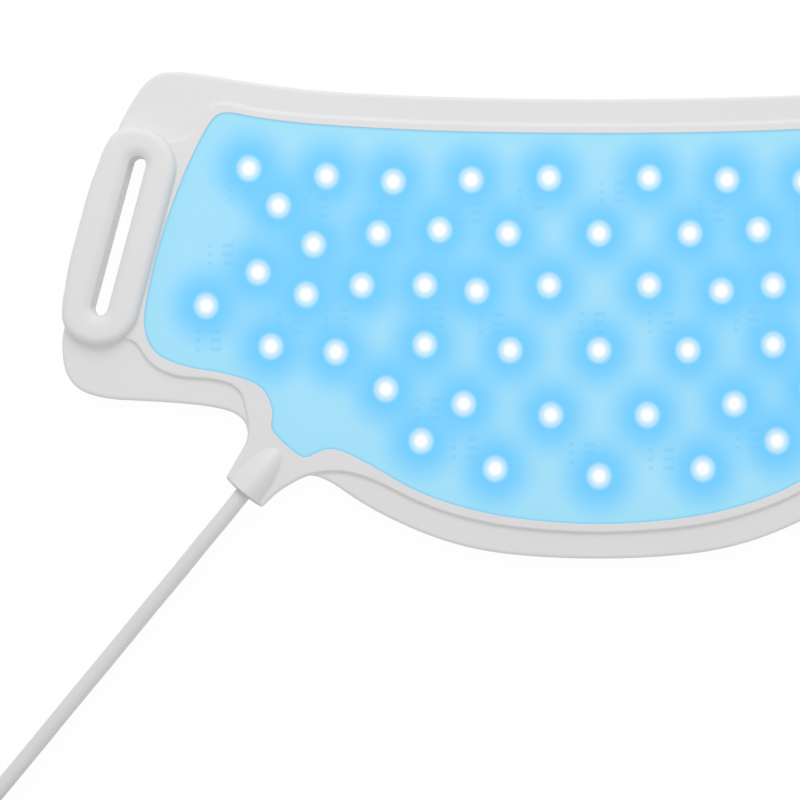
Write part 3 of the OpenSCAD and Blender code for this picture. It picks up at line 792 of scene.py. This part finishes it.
BEND_REACH = 15.0
RIM_STEP, LEDGE, LEDGE_STEP = 0.26, 0.75, 2.6
EDGE_R, BOOT_END_R, WINDOW_R = 1.0, 0.3, 0.16
FILLET, LOOP_WALL, CROWN_R, MOUTH_R = 0.35, 0.14, 2.3, 0.22
SINK, SINK_W, SLOT_LIP = 1.4, 3.3, 0.8
BOOT_FILLET = 0.5
DRAW, DRAW_ENDS, ENDS_REACH = 0.4, 0.9, 7.0
boot_tip = BOOT_L * 0.995


def boot_half_width(along):
    """Half the boot's width where it meets the rim, which shrinks to nothing at the tip."""
    return BOOT_W * np.sqrt(np.clip(1 - np.clip(along / BOOT_L, 0, 1) ** 2.1, 0, None))


def with_loop(points, level, loop):
    """The height with a loop on it: a fillet at its foot, a short upright wall, a round up to its
    crown, a parabola down to the slot's mouth, and a wall that leans in to the slot's back edge."""
    inside = -outside_round(points, loop.outer)
    from_mouth = outside_round(points, loop.mouth)
    off_mouth = np.clip(from_mouth, 0, None)
    foot = level + rounding(-inside, FILLET)
    crown = loop_top - rounding(inside - LOOP_WALL, CROWN_R) - rounding(off_mouth, MOUTH_R)
    crown -= SINK * np.clip(1 - off_mouth / SINK_W, 0, 1) ** 2
    level = np.where(inside > 0, foot + (crown - foot) * np.clip(inside / LOOP_WALL, 0, 1), foot)
    up_wall = np.clip(outside_round(points, loop.slot), 0, None) + 0.02
    up_wall = up_wall / (up_wall + np.clip(-from_mouth, 0, None))
    return np.where(from_mouth < 0, SLOT_LIP + (level - SLOT_LIP) * up_wall, level)


def front_height(points):
    """Height of the front's face: the flange, a step up to the rim that follows tanh, edges
    rounded less where the cable leaves, the loops, and the boot, a parabola across that gets lower
    and narrower to its tip."""
    ledge = np.max([
        LEDGE * s_curve((points - outer.middle) @ outer.way, 2, 16) - outside_round(points, outer)
        for outer, *_ in loops
    ], axis=0)
    step = np.tanh(np.maximum(depth(points, rim_line) / RIM_STEP, ledge / LEDGE_STEP))
    level = flange_top + (rim_top - flange_top) * (0.5 + 0.5 * step)
    along, aside = in_boot(points)
    inside = depth(points, panel_line)
    at_end = s_curve(along, 3.5, 0.5) * s_curve(np.abs(aside), 8.0, 6.5)
    level -= (1 - at_end) * rounding(inside, EDGE_R) + at_end * rounding(inside, BOOT_END_R)
    level -= rounding(-depth(points, window_line), WINDOW_R)
    for loop in loops:
        level = with_loop(points, level, loop)
    across = aside / np.maximum(boot_half_width(along), 0.05)
    crown = (1 - np.clip(along / BOOT_L, 0, 1) ** 2.4) ** 0.7
    on_it = (along > -0.5) & (along < BOOT_L) & (np.abs(across) < 1.4)
    boot = np.where(on_it, rim_top + BOOT_H * crown * (1 - across ** 2), 0)
    blend = np.clip(1 - np.abs(boot - level) / BOOT_FILLET, 0, 1) * np.clip(2 * crown, 0, 1)
    return np.maximum(boot, level) + BOOT_FILLET / 4 * blend ** 2


def drawn_in(points):
    """The plan with each loop's outer side drawn in, by a bell curve more where its ends begin."""
    moved = points.copy()
    for outer, *_ in loops:
        along = np.abs((points - outer.middle) @ outer.way)
        across = (points - outer.middle) @ away(outer)
        draw = DRAW + DRAW_ENDS * np.exp(-((along - outer.half - 1.5) / ENDS_REACH) ** 2)
        draw *= s_curve(across, 3, outer.radius)
        draw *= s_curve(along, outer.half + outer.radius + 1, outer.half + 3)
        moved -= draw[:, None] * away(outer)
    return moved


def off_boot(points):
    """Whether points lie clear of the boot."""
    along, aside = in_boot(points)
    return (np.abs(aside) > boot_half_width(along) + 0.95) | (along > BOOT_L + 0.6) | (along < -1)


def off_edge_and_window(row, from_edge, from_window):
    """Whether points lie so far inside the panel's edge and outside the window's."""
    return (depth(row, panel_line) > from_edge) & (depth(row, window_line) < -from_window)


# Rows of points where the face turns: along the edge, the rim's step and the window's edge
rows = parallels(panel_line, (-0.03, -0.11, -0.24, -0.42, -0.65, -0.95, -1.4),
                 lambda row: (outside_loops(row) > 1.0) & off_boot(row))
rows += parallels(
    rim_line, (1.15, 0.75, 0.5, 0.32, 0.16, 0.0, -0.16, -0.32, -0.5, -0.75, -1.15),
    lambda row: off_edge_and_window(row, 0.1, 0.7) & (outside_loops(row) > 0.1) & off_boot(row),
)
rows += parallels(window_line, (0.02, 0.06, 0.11, 0.17, 0.4), lambda row: outside_loops(row) > 0.12)

# Round each loop's foot, up its round, down to the slot's mouth, and through the slot
slot_rows, loop_edges = [], []
for loop in loops:
    for distance in (1.9, 1.4, 1.15, 0.98, 0.86, 0.75, 0.64, 0.52, 0.35, 0.22, 0.12, 0.05):
        row = long_round(loop.outer, distance, STEP)
        rows.append(row[off_edge_and_window(row, 0.15, 0.65)])
    for inset in (0.14, 0.2, 0.36, 0.62, 0.95, 1.35, 1.8, 2.4, 3.2):
        rows.append(long_round(loop.outer, -inset, STEP))
    for distance in (-0.06, 0.0, 0.04, 0.12, 0.25, 0.5, 0.8, 1.15, 1.55, 2.0, 2.6, 3.3):
        row = long_round(loop.mouth, distance, STEP / 2)
        rows.append(row[outside_round(row, loop.slot) > 0.035])
    slot_rows.append(long_round(loop.slot, 0, STEP / 2))
    edge = long_round(loop.outer, 0, STEP)
    hidden = depth(edge, panel_line) > 0.3
    first = int((hidden & ~np.roll(hidden, 1)).argmax())
    loop_edges.append(np.roll(edge, -first, axis=0)[:hidden.sum()])

# Over the boot, closer together towards its tip and its sides, and an even filling elsewhere
along = boot_tip * np.sin(np.linspace(0, np.pi / 2, 30))[1:]
width = boot_half_width(along)
share = np.sin(np.linspace(-np.pi / 2, np.pi / 2, 27))[1:-1]
places = [np.stack([np.repeat(along[:-1], len(share)), np.outer(width[:-1], share).ravel()], -1)]
for distance in (0.12, 0.28, 0.5, 0.8):
    places += [np.stack([along, side * (width + distance)], -1) for side in (1, -1)]
boot_edge = np.stack([[*along, *along[-2::-1]], [*width, *-width[-2::-1]]], -1)
boot_axes = np.array([-exit_way, -square_to(exit_way)])
boot_rows = [EXIT[:2] + place @ boot_axes for place in places]
boot_edge = EXIT[:2] + boot_edge @ boot_axes
fill = filling(3.0)
far = off_edge_and_window(fill, 2.2, 1.4) & (np.abs(depth(fill, rim_line)) > 2.0)
far &= (outside_loops(fill) > 3.0) & off_boot(fill)

plan, triangles = plan_mesh(
    [panel_line, window_line] + slot_rows + loop_edges + [boot_edge] + rows,
    boot_rows + [fill[far]],
    lambda middles: off_edge_and_window(middles, CLOSE, CLOSE) & (
        outside_loops(middles, "slot") > CLOSE),
)
upper = front_height(plan)
from_edge = depth(plan, panel_line)
front_back = back_top + rounding(from_edge, 0.15)
ring_back = rounding(from_edge, 0.4)
middles = plan[triangles].mean(1)
in_loops = [outside_round(middles, loop.outer) < 0 for loop in loops]
along, aside = in_boot(middles)
on_boot = (along > 0) & (along < boot_tip) & (np.abs(aside) < boot_half_width(along))

# Painted light on the silicone: a faint lilac tinge of the lights' glow beside them, and a paler
# colour inside the slots, which lightens their shaded walls
LIGHT_NEAR, LIGHT_FAR = 8.0, 15.5


def tops(kind):
    """The outlines of the level tops of a kind of small solid, seen from above."""
    return outlines([kind + place for place in PLACES], top_of(kind + "_centre"))


lights = np.array([(line.max(0) + line.min(0)) / 2 for line in tops("led_lenses")])
light_off = np.min([np.hypot(*(plan - light).T) for light in lights], axis=0)
glow = s_curve(light_off, LIGHT_FAR, LIGHT_NEAR)
# Painted light: paler silicone inside each slot's mouth, over its shaded walls
thin = np.max([s_curve(outside_round(plan, loop.mouth), 0.1, -0.05) for loop in loops], axis=0)
silicone = Finish("white_silicone", Specular_IOR_Level=0.4)
grain = silicone.noise(2200.0, 3.0)
white = silicone.mix(silicone.noise(28.0, 2.0), (0.703, 0.703, 0.703), (0.733, 0.733, 0.733))
# Painted glow: the white is tinged lilac near the lights
painted_glow_white = silicone.mix(silicone.attribute("glow") * 0.5, white, (0.66, 0.66, 0.80))
silicone.drive(
    Base_Color=silicone.mix(silicone.attribute("thin"), painted_glow_white, (0.81, 0.81, 0.81)),
    Roughness=0.5 + grain * 0.12,
    Normal=silicone.bump(grain, 0.012),
)

plan = drawn_in(plan)
half_sheets("front_frame_half", "front_frame", silicone, "silicone", plan, triangles,
            triangles[~(in_loops[0] | in_loops[1] | on_boot)], upper, front_back, glow=glow)
for side, inside in zip(("left", "right"), in_loops):
    ring = slab("strap_loop_ring_" + side, plan, triangles, triangles[inside], upper, ring_back,
                thin=thin)
    on_piece(ring, silicone, "silicone", "strap_loop_" + side, body=side + "_wing")
boot = slab("cable_boot_cone", plan, triangles, triangles[on_boot], upper, front_back)
on_piece(boot, silicone, "silicone", "cable_boot", body="left_wing")


# ---- Back cover ----
# The plain sheet of the same silicone that lies against the skin, moulded flat and bonded to the
# front round its edge. Its lower edge is well rounded, and a fine seam shows where the two meet.

back_rows = parallels(panel_line, (-0.02, -0.07, -0.15, -0.27, -0.45, -0.8),
                      lambda row: outside_loops(row) > 0.3)
for loop in loops:
    for distance in (0.05, 0.15, 0.4):
        row = long_round(loop.outer, distance, STEP)
        back_rows.append(row[depth(row, panel_line) > 0.3])
fill = filling(4.0)
far = (depth(fill, panel_line) > 2.0) & (outside_loops(fill) > 1.6)
back_plan, back_triangles = plan_mesh(
    [panel_line] + loop_edges + back_rows, [fill[far]],
    lambda middles: (depth(middles, panel_line) > CLOSE) & (outside_loops(middles) > 0),
)
edge = np.minimum(depth(back_plan, panel_line), outside_loops(back_plan))
half_sheets("back_cover_half", "back_cover", silicone, "silicone", drawn_in(back_plan),
            back_triangles, back_triangles, back_top - rounding(edge, 0.12), rounding(edge, 0.4))


# ---- Circuit, lights and resistors ----
# A bendable circuit of white lacquered film fills the window. Each light is a white ceramic
# package with a clear moulded lens, soldered to it beside its resistor chips by machine.

def clusters(node):
    """Points and triangles of a node's separate solids, with the X of each solid's middle at each
    of its points. To find them, every point takes the lowest number it is joined to, repeatedly."""
    points, triangles = merged(node)
    label = np.arange(len(points))
    while True:
        lowest = label[triangles].min(1)
        before = label.copy()
        np.minimum.at(label, triangles.ravel(), np.repeat(lowest, 3))
        if (before == label).all():
            break
    total = np.zeros((len(points), 2))
    np.add.at(total, label, np.column_stack([points[:, 0], np.ones(len(points))]))
    return points, triangles, (total[label, 0] / total[label, 1])


def halves(name, kind, finish, slot):
    """Copies of the solids of one kind, in one piece for each side of the panel, with their
    placement baked into their meshes.
    """
    found = [clusters(kind + place) for place in PLACES]
    for side, sign in (("left", -1), ("right", 1)):
        points, faces, count = [], [], 0
        for places, triangles, middle in found:
            own = triangles[np.sign(middle[triangles[:, 0]]) == sign]
            used, small = np.unique(own, return_inverse=True)
            points.append(places[used])
            faces.append(small.reshape(-1, 3) + count)
            count += len(used)
        piece = surface(name + "_" + side, np.concatenate(points), np.concatenate(faces))
        piece.data.set_sharp_from_angle(angle=np.radians(30))
        on_piece(piece, finish, slot, kind + "_" + side, kind + "_centre")
        bending(piece, side)


film = Finish("lacquered_film", Roughness=0.4)
tracks = film.node("ShaderNodeTexBrick", {"offset": 0.37}, {
    "Vector": film.place(), "Scale": 60.0, "Mortar Size": 0.02, "Mortar Smooth": 0.4,
}, "Fac")
film.drive(
    Base_Color=film.mix(tracks, (0.70, 0.71, 0.72), (0.60, 0.58, 0.52)),
    Normal=film.bump(tracks, 0.03),
)
film_line = beside(window_line, -0.05)
fill = filling(5.0)
film_plan, film_triangles = plan_mesh(
    [film_line], [fill[depth(fill, film_line) > 1.0]],
    lambda middles: depth(middles, film_line) > CLOSE,
)
film_top = top_of("flex_circuit_centre")
half_sheets("circuit_film", "flex_circuit", film, "circuit", film_plan, film_triangles,
            film_triangles, film_top, back_top + 0.01)

ceramic = speckled("white_ceramic", (900.0,), (0.74, 0.74, 0.73), (0.80, 0.80, 0.79),
                   grain=(1500.0,), rough=(0.3, 0.12))
chip = speckled("resistor_ink", (1400.0,), (0.012, 0.012, 0.014), (0.03, 0.03, 0.034),
                grain=(2500.0,), rough=(0.35, 0.15))
lens = Finish("lit_lens", Roughness=0.1, Emission_Strength=1.0)
speckle = lens.noise(1800.0)
lens.drive(
    Base_Color=lens.mix(speckle, (0.50, 0.70, 0.80), (0.60, 0.78, 0.86)),
    Emission_Color=lens.mix(speckle, (0.55, 0.80, 1.0), (0.75, 0.90, 1.0)),
)
halves("light_packages", "led_packages", ceramic, "led_body")
halves("light_lenses", "led_lenses", lens, "led_lens")
halves("resistor_chips", "resistors", chip, "chips")


# ---- Light window ----
# A sheet of translucent silicone bonded into the front over the circuit. The lights under it are
# painted on it, in its emission and its base colour, as soft white discs in a blue glow, and the
# resistor chips as faint painted shadows.

def srgb(*levels):
    """A colour from screen levels of 0 to 255, as the amount of light: the sRGB curve undone."""
    share = np.array(levels) / 255
    return np.where(share > 0.04045, ((share + 0.055) / 1.055) ** 2.4, share / 12.92).tolist()


# Each chip's middle, and its long and short way, half as long as the chip is that way
GAP, DISC_STRETCH = 0.012, 1.06
chips = []
for line in tops("resistors"):
    sides = np.roll(line, -1, axis=0) - line
    way = sides[np.linalg.norm(sides, axis=1).argmax()]
    way = way / np.linalg.norm(way)
    axes = np.array([way, -square_to(way)])
    chips.append((line.mean(0), axes, np.ptp(line @ axes.T, axis=0) / 2))


def to_light(points):
    """Distance of each point to each light, with the discs a little taller than wide."""
    apart = points[:, None] - lights[None]
    return np.hypot(apart[:, :, 0], apart[:, :, 1] / DISC_STRETCH)


def over_chips(points):
    """1 over a chip, 0 clear of one, with soft edges."""
    shade = np.zeros(len(points))
    for middle, axes, half in chips:
        inside = (half - np.abs((points - middle) @ axes.T)).min(1)
        shade = np.maximum(shade, s_curve(inside, -0.22, 0.18))
    return shade


def in_window(points):
    """How far each point lies inside the window's edge."""
    return depth(points, window_edge)


# Rows along the edge, rings round each light as far as the next light's, three outlines of each
# chip, and an even filling between them
RING = 28
window_edge = beside(window_line, -GAP)
insets = (0.03, 0.09, 0.18, 0.32, 0.6, 1.0, 1.5, 2.2)
window_rows = [beside(window_edge, -inset) for inset in insets]
turn = np.arange(RING) * 2 * np.pi / RING
spokes = np.stack([np.cos(turn), np.sin(turn) * DISC_STRETCH], -1)
radii = np.array([
    0.7, 1.1, 1.35, 1.6, 1.85, 2.1, 2.35, 2.65, 2.95, 3.2, 3.45, 3.7, 3.95, 4.25, 4.8, 5.6,
])
discs = lights[:, None, None] + spokes * radii[:, None, None]
discs = np.concatenate([lights, discs.reshape(-1, 2)])
own = np.append(np.zeros(len(lights)), np.tile(np.repeat(radii, RING), len(lights)))
discs = discs[(to_light(discs).min(1) > own - 0.02) & (in_window(discs) > 0.4)]
outline = np.concatenate([
    [(u, side) for side in (1, -1) for u in np.linspace(-1, 1, 7)],
    [(side, v) for side in (1, -1) for v in (-1 / 3, 1 / 3)],
])
marks = np.concatenate([
    middle + outline * np.maximum(half + grow, 0.02) @ axes
    for middle, axes, half in chips for grow in (-0.18, 0.0, 0.22)
])
marks = marks[(to_light(marks).min(1) > 3.0) & (in_window(marks) > 0.6)]
fill = filling(1.8)
fill = fill[(in_window(fill) > 2.9) & (to_light(fill).min(1) > 6.3) & (over_chips(fill) == 0)]
window_plan, window_triangles = plan_mesh(
    [window_edge] + window_rows, [discs, marks, fill],
    lambda middles: in_window(middles) > CLOSE,
)
window_depth = in_window(window_plan)
window_top = top_of("light_window_centre") - rounding(window_depth, WINDOW_R)
off_lights = to_light(window_plan)
maps = {
    "reach": off_lights.min(1),
    "glow": 1 - np.prod(s_curve(off_lights, 3.4, 13.6), axis=1),
    "edge": np.clip(window_depth, 0, 9),
    "chip": over_chips(window_plan),
}

# Painted light from each light's middle, in the emission and, darker, in the base colour: a white
# core, a pale disc, and then the blue field, which is deepest near the lights, paler towards the
# window's edge and a little darker over the chips, where their shadows are painted
SHINE = 0.62
lit = Finish("lit_silicone", Emission_Strength=SHINE, Specular_IOR_Level=0.35)
reach, glow, edge, chip_shade = (lit.attribute(name) for name in maps)
pale = lit.mix(lit.noise(55.0, 2.0), srgb(160, 222, 248), srgb(166, 225, 251))
pale = lit.mix(edge.between(7.0, 1.0) * 0.75, pale, srgb(158, 223, 247))
field = lit.mix(glow, pale, srgb(112, 205, 255))
# Painted shadows of the resistor chips under the window
field = lit.mix(chip_shade * 0.30, field, srgb(112, 196, 240))
disc = lit.mix(reach.between(1.1, 2.6), srgb(252, 253, 255), srgb(190, 230, 252))
colour = lit.mix(reach.between(2.5, 3.95), disc, field)
# Painted shade: a deeper blue band along the window's rounded edge
colour = lit.mix(edge.between(0.9, 0.1) * 0.7, colour, srgb(132, 208, 243))
grain = lit.noise(2000.0, 3.0)
lit.drive(
    # The base colour carries the same painted light, at the share that is not emitted
    Base_Color=lit.mix(SHINE, colour, (0, 0, 0)),
    Emission_Color=colour,
    Roughness=0.46 + grain * 0.1,
    Normal=lit.bump(grain, 0.01),
)
half_sheets("light_window_half", "light_window", lit, "window", window_plan, window_triangles,
            window_triangles, window_top, film_top + 0.01, **maps)


# ---- Cable anchor ----
# Inside the boot the jacket ends in a crimped brass ring, and the lead's two tinned strands run
# on to solder pads on the circuit. The silicone is moulded over all of it.

brass = speckled("crimped_brass", (700.0, 3.0), (0.62, 0.42, 0.16), (0.78, 0.58, 0.28),
                 rough=(0.26, 0.18), relief=0.02, Metallic=1.0)
solder = speckled("bright_solder", (1200.0, 2.0), (0.55, 0.55, 0.54), (0.72, 0.72, 0.72),
                  rough=(0.16, 0.2), relief=0.03, Metallic=1.0)
tinned = Finish("tinned_strands", Metallic=1.0, Roughness=0.35)
twist = tinned.node("ShaderNodeTexWave", {"bands_direction": "DIAGONAL"},
                    {"Vector": tinned.place(), "Scale": 900.0, "Distortion": 0.6})
tinned.drive(
    Base_Color=tinned.mix(twist, (0.45, 0.43, 0.41), (0.72, 0.70, 0.68)),
    Normal=tinned.bump(twist, 0.04),
)
for node, finish in (("cable_end", jacket), ("crimp_ring", brass), ("wire_tails", tinned),
                     ("solder_pads", solder)):
    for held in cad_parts[node].material_slots:
        held.material = finish.material


# ---- Floor and light ----
# A white sweep under a large round soft lamp, which stands above the panel's upper edge a little
# left of its middle, in a white room. The sweep shows as plain white, and keeps a faint shadow.

SWEEP, SWEEP_Z, SEEN_WHITE = 3000.0, -0.2, 0.955
corners = SWEEP * np.array([[-1, -1], [1, -1], [1, 1], [-1, 1]])
floor = surface("floor", np.insert(corners, 2, SWEEP_Z, axis=1), np.array([[0, 1, 2, 3]]))
sweep = Finish("white_sweep", Roughness=0.9, Base_Color=(0.93, 0.93, 0.93, 1),
               Specular_IOR_Level=0.0)
by_camera, by_gloss, through_glass = (
    sweep.node("ShaderNodeLightPath", {}, {}, "Is " + ray + " Ray")
    for ray in ("Camera", "Glossy", "Transmission")
)
seen = by_camera.maths("MAXIMUM", by_gloss).maths("MAXIMUM", through_glass)
white = sweep.node("ShaderNodeEmission", {}, {"Strength": 1.0})
shown = sweep.node("ShaderNodeMixShader", {}, {
    0: seen * SEEN_WHITE, 1: Shade(sweep, sweep.shader.outputs[0]), 2: white,
})
sweep.tree.links.new(shown.socket, sweep.tree.nodes["Material Output"].inputs["Surface"])
floor.data.materials.append(sweep.material)

lamp = bpy.data.objects.new("soft_lamp", bpy.data.lights.new("soft_lamp", "AREA"))
lamp.data.shape = "DISK"
lamp.data.size = 0.5
lamp.data.energy = 2.1
lamp.location = (-0.06, 0.50, 0.52)
lamp.rotation_mode = "QUATERNION"
lamp.rotation_quaternion = (Vector((-0.05, 0, 0)) - lamp.location).to_track_quat("-Z", "Y")
bpy.context.scene.collection.objects.link(lamp)
world = bpy.data.worlds.new("white_room")
world.use_nodes = True
world.node_tree.nodes["Background"].inputs["Color"].default_value = (1, 1, 1, 1)
world.node_tree.nodes["Background"].inputs["Strength"].default_value = 0.74
bpy.context.scene.world = world
bpy.context.scene.view_settings.view_transform = "Standard"
